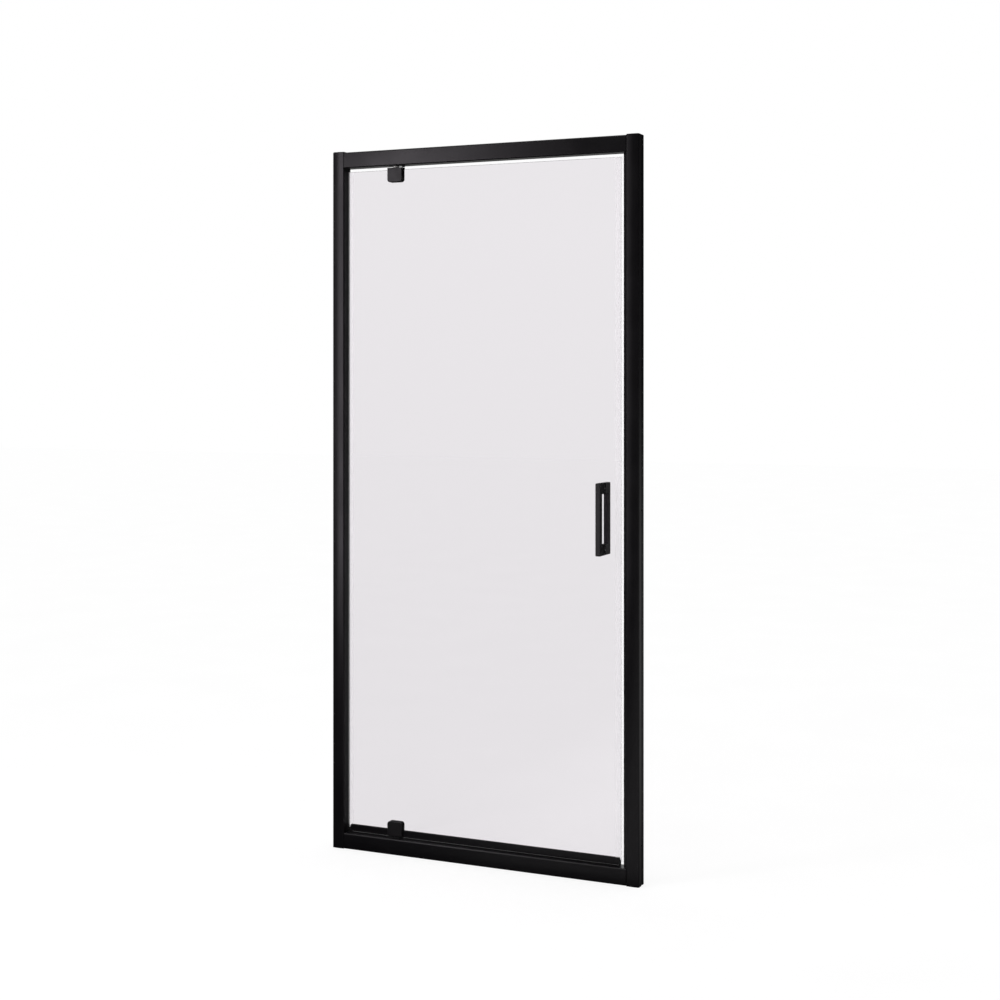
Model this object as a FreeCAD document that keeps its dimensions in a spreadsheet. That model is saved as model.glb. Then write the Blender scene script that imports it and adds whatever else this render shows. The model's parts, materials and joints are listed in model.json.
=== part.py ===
import FreeCAD, Part
import os
import re
import Sketcher

# A framed pivot shower door. A glass leaf turns on two pins near its hinge side.
# X runs along the frame, Y from the room (-) to the shower (+), Z up.
# The origin is on the floor, half way along the frame, in the middle of the glass.

driving_sizes = [
    # frame
    ("frame_width", 885, "over both posts"),
    ("frame_height", 1897, "floor to the top of the posts and the top rail"),
    ("frame_depth", 38, "front to back of posts and rails"),
    ("post_width", 35, "face of a post"),
    ("rail_height", 43, "face of a rail"),
    ("glass_share", 0.7026, "front of the frame to the middle of the glass, as a share of the depth"),
    ("profile_wall", 1.8, "wall of the posts and rails"),
    ("crown_rise", 1.5, "how far the front faces bow out"),
    ("post_radius", 3, "front edges of the posts"),
    ("rail_radius", 4, "front edges of the rails"),
    ("back_bevel", 0.8, "back edges of the posts and rails"),
    ("lip_width", 4, "lip at the mouth of the post's channel"),
    ("lip_depth", 4.5, "lip at the mouth of the post's channel"),
    ("slide_gap", 0.3, "post to wall channel"),
    # wall channels
    ("channel_wall", 1.6, "wall of a wall channel"),
    ("channel_flange", 20, "flanges of a wall channel"),
    ("channel_cut", 2, "wall channel shorter than the post"),
    ("groove_width", 9.4, "groove on the wall side, for sealant"),
    ("groove_depth", 1.2, "groove on the wall side, for sealant"),
    ("wall_hole_setback", 23.5, "front of the frame to the wall screws"),
    ("wall_hole", 5.5, "diameter of the wall screws' holes"),
    ("wall_hole_inset", 100, "floor or top to the end hole"),
    # caps and fixings of the frame
    ("cap_thickness", 2, "plate of a post cap"),
    ("cap_inset", 0.4, "post's outline to the cap's"),
    ("cap_bevel", 0.7, "upper edge of a post cap"),
    ("plug_depth", 8, "plug of a post cap"),
    ("plug_gap", 0.1, "plug of a post cap to the post"),
    ("plug_setin", 0.5, "plug of a post cap to the wall channel"),
    ("fixing_screw", 3.9, "diameter"),
    ("fixing_hole", 4.3, "hole in the post, and height of the slot in the wall channel"),
    ("fixing_slot", 13, "slot in the wall channel, for setting the post plumb"),
    ("fixing_length", 8, "below the head"),
    ("fixing_head", 7, "across the flats"),
    ("fixing_head_height", 2.2, "height"),
    ("fixing_inset", 150, "floor or top to the end screw"),
    ("fixing_setin", 12, "outer edge of the post to the screws"),
    ("corner_screw", 4, "diameter, also of the port that it cuts its thread in"),
    ("corner_hole", 4.4, "hole in the post"),
    ("corner_head", 7, "across the flats"),
    ("corner_head_height", 2.6, "height"),
    ("corner_grip", 20, "screw inside the rail"),
    ("port_size", 9, "square round a screw port"),
    # pivots
    ("pivot_inset", 182, "outer edge of the frame to the pivot axis"),
    ("pin_diameter", 6, "pivot pins"),
    ("pin_clearance", 0.05, "running fit in the bush, on the radius"),
    ("pin_reach", 15, "pin inside the clamp"),
    ("pin_embed", 12, "pin inside the seat or block"),
    ("seat_height", 2.2, "raised seat on the bottom rail"),
    ("seat_length", 44, "foot of the seat"),
    ("seat_top_length", 22, "top of the seat"),
    ("seat_lip", 0.8, "foot's height at the ends"),
    ("seat_margin", 1.8, "back of the frame to the seat"),
    ("seat_step", 2, "seat in front of the clamp"),
    ("seat_corner", 3, "cut off the upright corners"),
    ("plug_length", 20, "plug of the seat or block in the rail"),
    ("plug_width", 14, "plug of the seat or block in the rail"),
    ("seat_plug_depth", 15, "plug in the rail"),
    ("seat_ledge", 0.9, "foot of the seat under the screw's head"),
    ("seat_screw", 3.5, "diameter"),
    ("seat_screw_length", 10, "below the head"),
    ("seat_screw_head", 6.4, "diameter"),
    ("seat_screw_head_height", 1.2, "height"),
    ("seat_screw_recess", 7, "recess round the head"),
    ("seat_screw_setin", 15, "pivot axis to the screw"),
    ("block_length", 44, "block inside the top rail"),
    ("block_height", 12, "block inside the top rail"),
    ("running_gap", 0.3, "between the turning faces of a pivot"),
    ("bush_size", 10, "square shank of a bush"),
    ("bush_length", 16, "bush in the clamp"),
    ("bush_flange", 16, "diameter"),
    ("low_flange_height", 0.7, "flange of the bottom bush"),
    ("high_flange_height", 3.5, "flange of the top bush"),
    ("stop_size", 6, "lift stop under the top rail, square"),
    ("stop_bevel", 0.8, "lower edge of the lift stop"),
    # clamps
    ("clamp_width", 44, "face of a clamp"),
    ("clamp_height", 39, "face of a clamp"),
    ("clamp_depth", 20.6, "both halves and the glass"),
    ("clamp_corner", 8, "radius towards the glass"),
    ("clamp_bevel", 1, "round the face"),
    ("gasket_thickness", 1, "between clamp and glass"),
    ("gasket_inset", 1.2, "clamp's outline to the gasket's"),
    ("gasket_cut", 4, "cut corners of a gasket"),
    ("boss_width", 29, "boss that fills the notch"),
    ("boss_wall", 2.3, "beside the bush"),
    ("boss_gap", 0.2, "boss to the back half"),
    ("notch_gap", 0.5, "boss to glass"),
    ("notch_depth", 22, "notch in the glass"),
    ("notch_corner", 5, "radius in the notch"),
    ("clamp_screw", 4, "diameter"),
    ("clamp_screw_hole", 4.4, "hole in the back half"),
    ("clamp_screw_depth", 3, "clamp's face to the end of the screw"),
    ("clamp_screw_head", 7, "diameter"),
    ("clamp_screw_head_height", 2.2, "height"),
    ("clamp_screw_socket", 2.5, "across the flats"),
    ("socket_depth", 1.4, "hexagon socket"),
    ("clamp_screw_pitch", 22, "between the two screws"),
    ("clamp_screw_level", 14, "clamp's end to the screws"),
    # leaf
    ("glass_thickness", 6, "toughened glass"),
    ("glass_arris", 0.5, "ground edge of the glass"),
    ("glass_top_gap", 9, "top rail to the glass"),
    ("hinge_gap", 4, "post to the glass, hinge side"),
    ("lock_gap", 21, "post to the glass, lock side"),
    ("drip_lift", 2, "bottom rail to the drip rails"),
    ("drip_height", 18, "face of a drip rail"),
    ("drip_wall", 1.8, "drip rail's walls beside the glass"),
    ("drip_floor", 8.5, "drip rail's underside to the glass"),
    ("drip_lip", 1.5, "lips that hold the wiper"),
    ("drip_slot", 3.2, "mouth between the lips"),
    ("drip_slot_inside", 5.8, "width behind the lips"),
    ("drip_slot_height", 2.8, "height behind the lips"),
    ("drip_radius", 0.8, "upper edges of a drip rail"),
    ("drip_end_thickness", 4, "end piece of a drip rail"),
    ("drip_end_inset", 2.5, "edge of the glass to the end piece"),
    ("drip_end_slope", 9, "height of the end piece's slope"),
    ("drip_end_top", 0.8, "flat top of the end piece"),
    ("wiper_gap", 0.5, "wiper to the bottom rail"),
    ("wiper_stem", 2.6, "stem of the wiper"),
    ("wiper_tip", 0.9, "tip of the wiper"),
    ("wiper_lean", 1.2, "wiper's tip towards the shower"),
    ("wiper_start", 3, "clamp to the wiper"),
    ("seal_wall", 1, "wall of the clear seals"),
    ("hinge_seal_leg", 12, "hinge-side seal on the glass"),
    ("bulb_rise", 2.1, "bulb of the hinge-side seal"),
    ("bulb_width", 5, "bulb of the hinge-side seal"),
    ("lock_seal_leg", 16, "lock-side seal on the glass"),
    ("lock_seal_reach", 8, "lock-side seal beyond the glass"),
    ("magnet_width", 6.4, "leaf's magnet strip"),
    # strike on the lock-side post
    ("strike_wall", 1.5, "wall of the strike profile"),
    ("strike_reach", 10.3, "legs of the strike profile"),
    ("strike_setback", 14, "front of the frame to the strike profile"),
    ("strike_grip", 5.5, "ribs that hold the magnet"),
    ("strike_magnet_width", 8.4, "strike's magnet strip"),
    ("closing_gap", 0.5, "between the two magnet strips"),
    # handles
    ("handle_height", 185, "each handle"),
    ("handle_width", 12.5, "each handle"),
    ("handle_reach", 36.5, "each handle, from the glass"),
    ("handle_bar", 17.2, "depth of the bar"),
    ("handle_leg", 28, "height of a leg"),
    ("handle_level", 922.5, "floor to the handles' middle"),
    ("handle_inset", 50, "edge of the glass to the handles' middle"),
    ("handle_corner", 2.5, "outer corners"),
    ("handle_bevel", 0.8, "along the edges"),
    ("stud_diameter", 6, "handle studs"),
    ("stud_depth", 18, "stud inside a handle"),
    ("handle_hole", 12, "holes in the glass"),
    ("handle_pad", 1, "pad between handle and glass"),
    ("grub_screw", 4, "diameter"),
    ("grub_recess", 2, "grub screw below the surface"),
]

# places that several pieces share, worked out from the sizes
places = {
    "glass_setback": "frame_depth * glass_share",
    "frame_back": "frame_depth - glass_setback",
    "post_face": "frame_width / 2 - post_width",
    "post_hollow": "post_width - profile_wall",
    "rail_length": "frame_width - 2 * post_width",
    "rail_underside": "frame_height - rail_height",
    "hollow_front": "crown_rise + profile_wall",
    "hollow_back": "frame_depth - profile_wall",
    "pivot_x": "pivot_inset - frame_width / 2",
    "pivot_along": "pivot_inset - post_width",
    "half_glass": "glass_thickness / 2",
    "glass_left": "hinge_gap - post_face",
    "glass_right": "post_face - lock_gap",
    "glass_width": "glass_right - glass_left",
    "glass_bottom": "rail_height + drip_lift + drip_floor",
    "glass_top": "rail_underside - glass_top_gap",
    "drip_bottom": "rail_height + drip_lift",
    "drip_top": "rail_height + drip_lift + drip_height",
    "drip_outer": "half_glass + drip_wall",
    "low_clamp_gap": "seat_height + running_gap + low_flange_height",
    "high_clamp_gap": "running_gap + high_flange_height",
    "clamp_inner": "half_glass + gasket_thickness",
    "boss_back": "bush_size / 2 + boss_wall",
    "seal_outer": "half_glass + seal_wall",
    "handle_x": "glass_right - handle_inset",
    "handle_foot": "half_glass + handle_pad",
    "handle_face": "half_glass + handle_reach",
    "stud_level": "handle_height / 2 - handle_leg / 2",
    "stud_end": "handle_foot + stud_depth",
}

doc = FreeCAD.newDocument("pivot_shower_door")
sizes = doc.addObject("Spreadsheet::Sheet", "sizes")
for row, (alias, number, note) in enumerate(driving_sizes, 1):
    sizes.set(f"A{row}", note)
    sizes.set(f"B{row}", str(number))
    sizes.setAlias(f"B{row}", alias)
aliases = {alias for alias, number, note in driving_sizes}
doc.recompute()

tolerance = 1e-4
pieces = []


def spell_out(word):
    # a place becomes its formula, and a size's alias a reference to its cell
    if word[0] in places:
        return f"({bind(places[word[0]])})"
    return "sizes." + word[0] if word[0] in aliases else word[0]


def bind(formula):
    return re.sub("[a-z_]+", spell_out, str(formula))


def value(formula):
    return float(sizes.evalExpression(bind(formula)))


def new_piece(label, x=0, y=0, z=0, upside_down=False):
    body = doc.addObject("PartDesign::Body", label)
    body.Label = label
    if upside_down:
        body.Placement.Rotation = FreeCAD.Rotation(FreeCAD.Vector(0, 1, 0), 180)
    body.setExpression("Placement.Base.x", bind(x))
    body.setExpression("Placement.Base.y", bind(y))
    body.setExpression("Placement.Base.z", bind(z))
    pieces.append(body)
    return body


def new_sketch(body, name, plane, level):
    sketch = body.newObject("Sketcher::SketchObject", name)
    support = next(item for item in body.Origin.OriginFeatures if item.Role == plane)
    sketch.AttachmentSupport = (support, [""])
    sketch.MapMode = "FlatFace"
    toward = -1 if plane == "XZ_Plane" else 1
    sketch.setExpression("AttachmentOffset.Base.z", bind(f"{toward} * ({level})"))
    return sketch


def dimension(sketch, kind, name, formula, *geometry):
    index = sketch.addConstraint(Sketcher.Constraint(kind, *geometry, value(formula)))
    sketch.renameConstraint(index, name)
    sketch.setExpression("Constraints." + name, bind(formula))


def arc_between(start, end, rise, turn):
    # a counter-clockwise arc that bows out of the outline by rise
    chord = end - start
    across = FreeCAD.Vector(chord.y, -chord.x, 0) * (turn / chord.Length)
    radius = (chord.Length ** 2 / 4 + rise ** 2) / (2 * rise)
    centre = (start + end) / 2 + across * (rise - radius)
    circle = Part.Circle(centre, FreeCAD.Vector(0, 0, 1), radius)
    first, last = (start, end) if turn > 0 else (end, start)
    return Part.ArcOfCircle(circle, circle.parameter(first), circle.parameter(last))


def draw_outline(sketch, corners):
    # a corner is (x, y), or (x, y, rise, chord) where an arc leaves it
    points = [FreeCAD.Vector(value(corner[0]), value(corner[1]), 0) for corner in corners]
    following = points[1:] + points[:1]
    area = sum(a.x * b.y - a.y * b.x for a, b in zip(points, following))
    turn = 1 if area > 0 else -1
    first = sketch.GeometryCount
    starts = []
    for corner, start, end in zip(corners, points, following):
        if len(corner) == 2:
            sketch.addGeometry(Part.LineSegment(start, end), False)
            starts.append(1)
        else:
            sketch.addGeometry(arc_between(start, end, value(corner[2]), turn), False)
            starts.append(1 if turn > 0 else 2)
    for index, corner in enumerate(corners):
        edge = first + index
        after = (index + 1) % len(corners)
        ends = (edge, 3 - starts[index], first + after, starts[after])
        sketch.addConstraint(Sketcher.Constraint("Coincident", *ends))
        dimension(sketch, "DistanceX", f"x{edge}", corner[0], -1, 1, edge, starts[index])
        dimension(sketch, "DistanceY", f"y{edge}", corner[1], -1, 1, edge, starts[index])
        if len(corner) > 2:
            rise, chord = corner[2:]
            radius = f"(({chord})^2 / 4 + ({rise})^2) / (2 * ({rise}))"
            dimension(sketch, "Radius", f"radius{edge}", radius, edge)


def draw_circle(sketch, x, y, diameter):
    centre = FreeCAD.Vector(value(x), value(y), 0)
    circle = Part.Circle(centre, FreeCAD.Vector(0, 0, 1), value(diameter) / 2)
    index = sketch.addGeometry(circle, False)
    dimension(sketch, "DistanceX", f"x{index}", x, -1, 1, index, 3)
    dimension(sketch, "DistanceY", f"y{index}", y, -1, 1, index, 3)
    dimension(sketch, "Diameter", f"diameter{index}", diameter, index)


def extrude(kind, body, name, plane, start, end, outlines=(), circles=()):
    # start and end are levels along the axis that the plane is square to
    earlier = body.Tip.Shape.Volume if body.Tip else 0
    sketch = new_sketch(body, name + "_sketch", plane, start)
    for corners in outlines:
        draw_outline(sketch, corners)
    for x, y, diameter in circles:
        draw_circle(sketch, x, y, diameter)
    feature = body.newObject("PartDesign::" + kind, name)
    feature.Profile = sketch
    feature.setExpression("Length", bind(f"({end}) - ({start})"))
    feature.Reversed = (kind == "Pocket") != (plane == "XZ_Plane")
    doc.recompute()
    change = feature.Shape.Volume - earlier
    if (change < tolerance) if kind == "Pad" else (change > -tolerance):
        raise RuntimeError(f"{body.Label}: {name} changes nothing")
    return feature


def pad(*details, **shapes):
    return extrude("Pad", *details, **shapes)


def pocket(*details, **shapes):
    return extrude("Pocket", *details, **shapes)


def rectangle(left, bottom, right, top):
    return [(left, bottom), (right, bottom), (right, top), (left, top)]


def centred(length, width):
    return rectangle(f"-({length}) / 2", f"-({width}) / 2", f"({length}) / 2", f"({width}) / 2")


def hexagon(x, y, across):
    tall = f"({across}) / 2"
    wide = f"({across}) / 2 / cos(30)"
    half = f"({across}) / 4 / cos(30)"
    return [
        (f"{x} - {wide}", y),
        (f"{x} - {half}", f"{y} - {tall}"),
        (f"{x} + {half}", f"{y} - {tall}"),
        (f"{x} + {wide}", y),
        (f"{x} + {half}", f"{y} + {tall}"),
        (f"{x} - {half}", f"{y} + {tall}"),
    ]


def shank(x, y, diameter):
    # a screw's hidden shank has six sides, with its corners on the thread's diameter
    return hexagon(x, y, f"({diameter}) * cos(30)")


def span(into, start, end):
    # levels along an axis for a stretch that runs the way of into, from its nearer end
    return (start, end) if into > 0 else (f"-({end})", f"-({start})")


def edges_along(body, axis, spots):
    # straight edges that run along an axis, through spots given on the other two axes
    wanted = [[value(number) for number in spot] for spot in spots]
    others = [other for other in range(3) if other != axis]
    names = []
    for index, edge in enumerate(body.Tip.Shape.Edges, 1):
        ends = [vertex.Point for vertex in edge.Vertexes]
        for spot in wanted:
            off = [abs(end[other] - at) for end in ends for other, at in zip(others, spot)]
            if len(ends) == 2 and max(off) < tolerance:
                names.append(f"Edge{index}")
    return names


def edges_on(body, axis, level):
    # edges that lie in one plane square to an axis
    at = value(level)
    names = []
    for index, edge in enumerate(body.Tip.Shape.Edges, 1):
        box = edge.BoundBox
        low = (box.XMin, box.YMin, box.ZMin)[axis]
        high = (box.XMax, box.YMax, box.ZMax)[axis]
        if abs(low - at) < tolerance and abs(high - at) < tolerance:
            names.append(f"Edge{index}")
    return names


def dress(kind, body, name, size, edges):
    # a fillet or chamfer on the body as it stands
    if not edges:
        raise RuntimeError(f"{body.Label}: {name} finds no edge")
    base = body.Tip
    feature = body.newObject("PartDesign::" + kind, name)
    feature.Base = (base, edges)
    feature.setExpression("Radius" if kind == "Fillet" else "Size", bind(size))
    doc.recompute()
    return feature


def fillet(*details):
    return dress("Fillet", *details)


def chamfer(*details):
    return dress("Chamfer", *details)


def three_levels(inset):
    return [inset, "frame_height / 2", f"frame_height - {inset}"]


# Posts: channels with a crowned front and a lip. They slide over the wall channels.

def crowned_post(into, inset="0"):
    near = f"{into} * ({inset})"
    far = f"{into} * (post_width - ({inset}))"
    front = f"crown_rise + ({inset})"
    back = f"frame_depth - ({inset})"
    chord = f"post_width - 2 * ({inset})"
    return [(near, front, "crown_rise", chord), (far, front), (far, back), (near, back)]


def make_post(hand, into):
    body = new_piece(f"post_{hand}", x=f"-({into}) * frame_width / 2", y="-(glass_setback)")
    pad(body, "section", "XY_Plane", "0", "frame_height", outlines=[crowned_post(into)])
    channel = [
        ("0", "crown_rise + lip_depth"),
        (f"{into} * lip_width", "crown_rise + lip_depth"),
        (f"{into} * lip_width", "hollow_front"),
        (f"{into} * post_hollow", "hollow_front"),
        (f"{into} * post_hollow", "hollow_back"),
        ("0", "hollow_back"),
    ]
    pocket(body, "channel", "XY_Plane", "0", "frame_height", outlines=[channel])
    front_spots = [("0", "crown_rise"), (f"{into} * post_width", "crown_rise")]
    fillet(body, "front_edges", "post_radius", edges_along(body, 2, front_spots))
    back_spots = [("0", "frame_depth"), (f"{into} * post_width", "frame_depth")]
    chamfer(body, "back_edges", "back_bevel", edges_along(body, 2, back_spots))
    fixings = [(f"{into} * fixing_setin", level, "fixing_hole") for level in three_levels("fixing_inset")]
    pocket(body, "fixing_holes", "XZ_Plane", "frame_depth / 2", "frame_depth", circles=fixings)
    levels = ("rail_height / 2", "frame_height - rail_height / 2")
    corner_holes = [("frame_depth / 2", level, "corner_hole") for level in levels]
    inner_wall = span(into, "post_width / 2", "post_width")
    pocket(body, "corner_holes", "YZ_Plane", *inner_wall, circles=corner_holes)


# Wall channels: U profiles with a groove on the wall side, for sealant behind the screws.

def make_wall_channel(hand, into):
    body = new_piece(f"wall_channel_{hand}", x=f"-({into}) * frame_width / 2", y="-(glass_setback)")
    front = "(crown_rise + lip_depth + slide_gap)"
    back = "(hollow_back - slide_gap)"
    length = "frame_height - channel_cut"
    outside = rectangle("0", front, f"{into} * channel_flange", back)
    pad(body, "section", "XY_Plane", "0", length, outlines=[outside])
    low_side = "wall_hole_setback - groove_width / 2"
    high_side = "wall_hole_setback + groove_width / 2"
    web = f"{into} * channel_wall"
    rib = f"{into} * (channel_wall + groove_depth)"
    end = f"{into} * channel_flange"
    inside = [
        (end, f"{front} + channel_wall"),
        (end, f"{back} - channel_wall"),
        (web, f"{back} - channel_wall"),
        (web, f"{high_side} + channel_wall"),
        (rib, f"{high_side} + channel_wall"),
        (rib, f"{low_side} - channel_wall"),
        (web, f"{low_side} - channel_wall"),
        (web, f"{front} + channel_wall"),
    ]
    groove = rectangle("0", low_side, f"{into} * groove_depth", high_side)
    pocket(body, "hollow", "XY_Plane", "0", length, outlines=[inside, groove])
    holes = [("wall_hole_setback", level, "wall_hole") for level in three_levels("wall_hole_inset")]
    pocket(body, "wall_holes", "YZ_Plane", *span(into, "0", "channel_flange / 2"), circles=holes)
    near = f"{into} * (fixing_setin - fixing_slot / 2)"
    far = f"{into} * (fixing_setin + fixing_slot / 2)"
    slots = [
        rectangle(near, f"{level} - fixing_hole / 2", far, f"{level} + fixing_hole / 2")
        for level in three_levels("fixing_inset")
    ]
    pocket(body, "fixing_slots", "XZ_Plane", "frame_depth / 2", "frame_depth", outlines=slots)


# Screws that lock a post to its wall channel, from the shower side.

def make_fixing_screws(hand, into):
    body = new_piece(f"fixing_screws_{hand}", x=f"-({into}) * frame_width / 2", y="frame_back")
    spots = [(f"{into} * fixing_setin", level) for level in three_levels("fixing_inset")]
    shanks = [shank(*spot, "fixing_screw") for spot in spots]
    heads = [hexagon(*spot, "fixing_head") for spot in spots]
    pad(body, "shanks", "XZ_Plane", "-fixing_length", "0", outlines=shanks)
    pad(body, "heads", "XZ_Plane", "0", "fixing_head_height", outlines=heads)


# Caps on the posts' open tops, with a plug beyond the wall channel.

def make_post_cap(hand, into):
    side = f"-({into}) * frame_width / 2"
    body = new_piece(f"post_cap_{hand}", x=side, y="-(glass_setback)", z="frame_height")
    pad(body, "plate", "XY_Plane", "0", "cap_thickness", outlines=[crowned_post(into, "cap_inset")])
    sides = (f"{into} * cap_inset", f"{into} * (post_width - cap_inset)")
    front_spots = [(side, "crown_rise + cap_inset") for side in sides]
    fillet(body, "front_corners", "post_radius", edges_along(body, 2, front_spots))
    chamfer(body, "upper_edge", "cap_bevel", edges_on(body, 2, "cap_thickness"))
    near = f"{into} * (channel_flange + plug_setin)"
    far = f"{into} * (post_hollow - plug_gap)"
    plug = rectangle(near, "hollow_front + plug_gap", far, "hollow_back - plug_gap")
    pad(body, "plug", "XY_Plane", "-plug_depth", "0", outlines=[plug])


# Rails: hollow extrusions with a crowned front, and a web that carries a screw port.

def make_rail(label, level):
    body = new_piece(label, x="-(post_face)", y="-(glass_setback)", z=level)
    outside = [
        ("crown_rise", "rail_height", "crown_rise", "rail_height"),
        ("crown_rise", "0"),
        ("frame_depth", "0"),
        ("frame_depth", "rail_height"),
    ]
    pad(body, "section", "YZ_Plane", "0", "rail_length", outlines=[outside])
    web_low = "(rail_height - profile_wall) / 2"
    web_high = "(rail_height + profile_wall) / 2"
    port_low = "(rail_height - port_size) / 2"
    port_high = "(rail_height + port_size) / 2"
    port_front = "(frame_depth - port_size) / 2"
    port_back = "(frame_depth + port_size) / 2"
    lower = [
        ("hollow_front", "profile_wall"),
        ("hollow_back", "profile_wall"),
        ("hollow_back", web_low),
        (port_back, web_low),
        (port_back, port_low),
        (port_front, port_low),
        (port_front, web_low),
        ("hollow_front", web_low),
    ]
    upper = [
        ("hollow_front", "rail_height - profile_wall"),
        ("hollow_back", "rail_height - profile_wall"),
        ("hollow_back", web_high),
        (port_back, web_high),
        (port_back, port_high),
        (port_front, port_high),
        (port_front, web_high),
        ("hollow_front", web_high),
    ]
    port = [("frame_depth / 2", "rail_height / 2", "corner_screw")]
    pocket(body, "hollows", "YZ_Plane", "0", "rail_length", outlines=[lower, upper], circles=port)
    front_spots = [("crown_rise", "0"), ("crown_rise", "rail_height")]
    fillet(body, "front_edges", "rail_radius", edges_along(body, 0, front_spots))
    back_spots = [("frame_depth", "0"), ("frame_depth", "rail_height")]
    chamfer(body, "back_edges", "back_bevel", edges_along(body, 0, back_spots))
    return body


def plug_slot():
    left = "pivot_along - plug_length / 2"
    right = "pivot_along + plug_length / 2"
    return rectangle(left, "glass_setback - plug_width / 2", right, "glass_setback + plug_width / 2")


def make_rails():
    bottom = make_rail("bottom_rail", "0")
    screw_hole = [("pivot_along + seat_screw_setin", "glass_setback", "seat_screw")]
    upper_wall = ("rail_height - profile_wall", "rail_height")
    pocket(bottom, "plug_slot", "XY_Plane", *upper_wall, outlines=[plug_slot()], circles=screw_hole)
    top = make_rail("top_rail", "rail_underside")
    pocket(top, "plug_slot", "XY_Plane", "0", "profile_wall", outlines=[plug_slot()])


# Corner screws, through the posts' inner walls into the rails' ports.

def make_corner_screws(label, level):
    body = new_piece(label, y="frame_depth / 2 - glass_setback", z=f"{level} + rail_height / 2")
    seat = "(post_face + profile_wall)"
    screw = [shank("0", "0", "corner_screw")]
    head = [hexagon("0", "0", "corner_head")]
    for hand, side in (("left", -1), ("right", 1)):
        grip = span(side, "post_face - corner_grip", seat)
        crown = span(side, seat, f"{seat} + corner_head_height")
        pad(body, f"{hand}_shank", "YZ_Plane", *grip, outlines=screw)
        pad(body, f"{hand}_head", "YZ_Plane", *crown, outlines=head)


# The bottom pivot's seat: a bar with sloping ends on the rail, and a plug inside it.

def make_pivot_seat():
    body = new_piece("pivot_seat_bottom", x="pivot_x", z="rail_height")
    front = "(-clamp_depth / 2 - seat_step)"
    back = "(frame_back - seat_margin)"
    bar = rectangle("-seat_length / 2", front, "seat_length / 2", back)
    pad(body, "bar", "XY_Plane", "0", "seat_height", outlines=[bar])
    corners = [(f"{side}seat_length / 2", edge) for side in ("-", "") for edge in (front, back)]
    chamfer(body, "corners", "seat_corner", edges_along(body, 2, corners))
    slopes = [
        [
            (f"{side}seat_length / 2", "seat_lip"),
            (f"{side}seat_length / 2", "seat_height"),
            (f"{side}seat_top_length / 2", "seat_height"),
        ]
        for side in ("-", "")
    ]
    pocket(body, "slopes", "XZ_Plane", front, back, outlines=slopes)
    plug = centred("plug_length", "plug_width")
    pad(body, "plug", "XY_Plane", "-seat_plug_depth", "0", outlines=[plug])
    pocket(body, "pin_bore", "XY_Plane", "-pin_embed", "seat_height", circles=[("0", "0", "pin_diameter")])
    hole = [("seat_screw_setin", "0", "seat_screw")]
    recess = [("seat_screw_setin", "0", "seat_screw_recess")]
    pocket(body, "screw_hole", "XY_Plane", "0", "seat_height", circles=hole)
    pocket(body, "recess", "XY_Plane", "seat_ledge", "seat_height", circles=recess)
    screw = new_piece("pivot_seat_screw", x="pivot_x", z="rail_height + seat_ledge")
    stem = [shank("seat_screw_setin", "0", "seat_screw")]
    head = [("seat_screw_setin", "0", "seat_screw_head")]
    pad(screw, "shank", "XY_Plane", "-seat_screw_length", "0", outlines=stem)
    pad(screw, "head", "XY_Plane", "0", "seat_screw_head_height", circles=head)


# The top pivot's block lies inside the rail, with its plug in the slot. The lift stop
# keeps the clamp from rising off the bottom pin.

def make_pivot_block():
    body = new_piece("pivot_block_top", x="pivot_x", z="rail_underside")
    block = centred("block_length", "2 * (frame_back - profile_wall)")
    pad(body, "block", "XY_Plane", "profile_wall", "profile_wall + block_height", outlines=[block])
    plug = centred("plug_length", "plug_width")
    pad(body, "plug", "XY_Plane", "0", "profile_wall", outlines=[plug])
    pocket(body, "pin_bore", "XY_Plane", "0", "pin_embed", circles=[("0", "0", "pin_diameter")])
    stop = new_piece("lift_stop_top", x="pivot_x + clamp_width / 2", z="rail_underside")
    bottom = "running_gap - high_clamp_gap"
    pad(stop, "block", "XY_Plane", bottom, "0", outlines=[centred("stop_size", "stop_size")])
    chamfer(stop, "lower_edge", "stop_bevel", edges_on(stop, 2, bottom))


# Each pivot is drawn the right way up for the bottom one, and turned over for the top one.

def make_pin(end, level, gap, upside_down):
    body = new_piece(f"pivot_pin_{end}", x="pivot_x", z=level, upside_down=upside_down)
    pad(body, "rod", "XY_Plane", "-pin_embed", f"{gap} + pin_reach", circles=[("0", "0", "pin_diameter")])


def make_bush(end, level, flange_height, upside_down):
    # the square shank keeps the bush from turning in the clamp
    body = new_piece(f"pivot_bush_{end}", x="pivot_x", z=level, upside_down=upside_down)
    pad(body, "flange", "XY_Plane", f"-{flange_height}", "0", circles=[("0", "0", "bush_flange")])
    pad(body, "shank", "XY_Plane", "0", "bush_length", outlines=[centred("bush_size", "bush_size")])
    bore = [("0", "0", "pin_diameter + 2 * pin_clearance")]
    pocket(body, "bore", "XY_Plane", f"-{flange_height}", "bush_length", circles=bore)


def clamp_plate(body, near, far, face):
    # one half of a clamp, with a bevel round its outer face
    outline = rectangle("-clamp_width / 2", "0", "clamp_width / 2", "clamp_height")
    pad(body, "plate", "XZ_Plane", near, far, outlines=[outline])
    corners = [("-clamp_width / 2", "clamp_height"), ("clamp_width / 2", "clamp_height")]
    fillet(body, "corners", "clamp_corner", edges_along(body, 1, corners))
    chamfer(body, "face_edge", "clamp_bevel", edges_on(body, 1, face))


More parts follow.
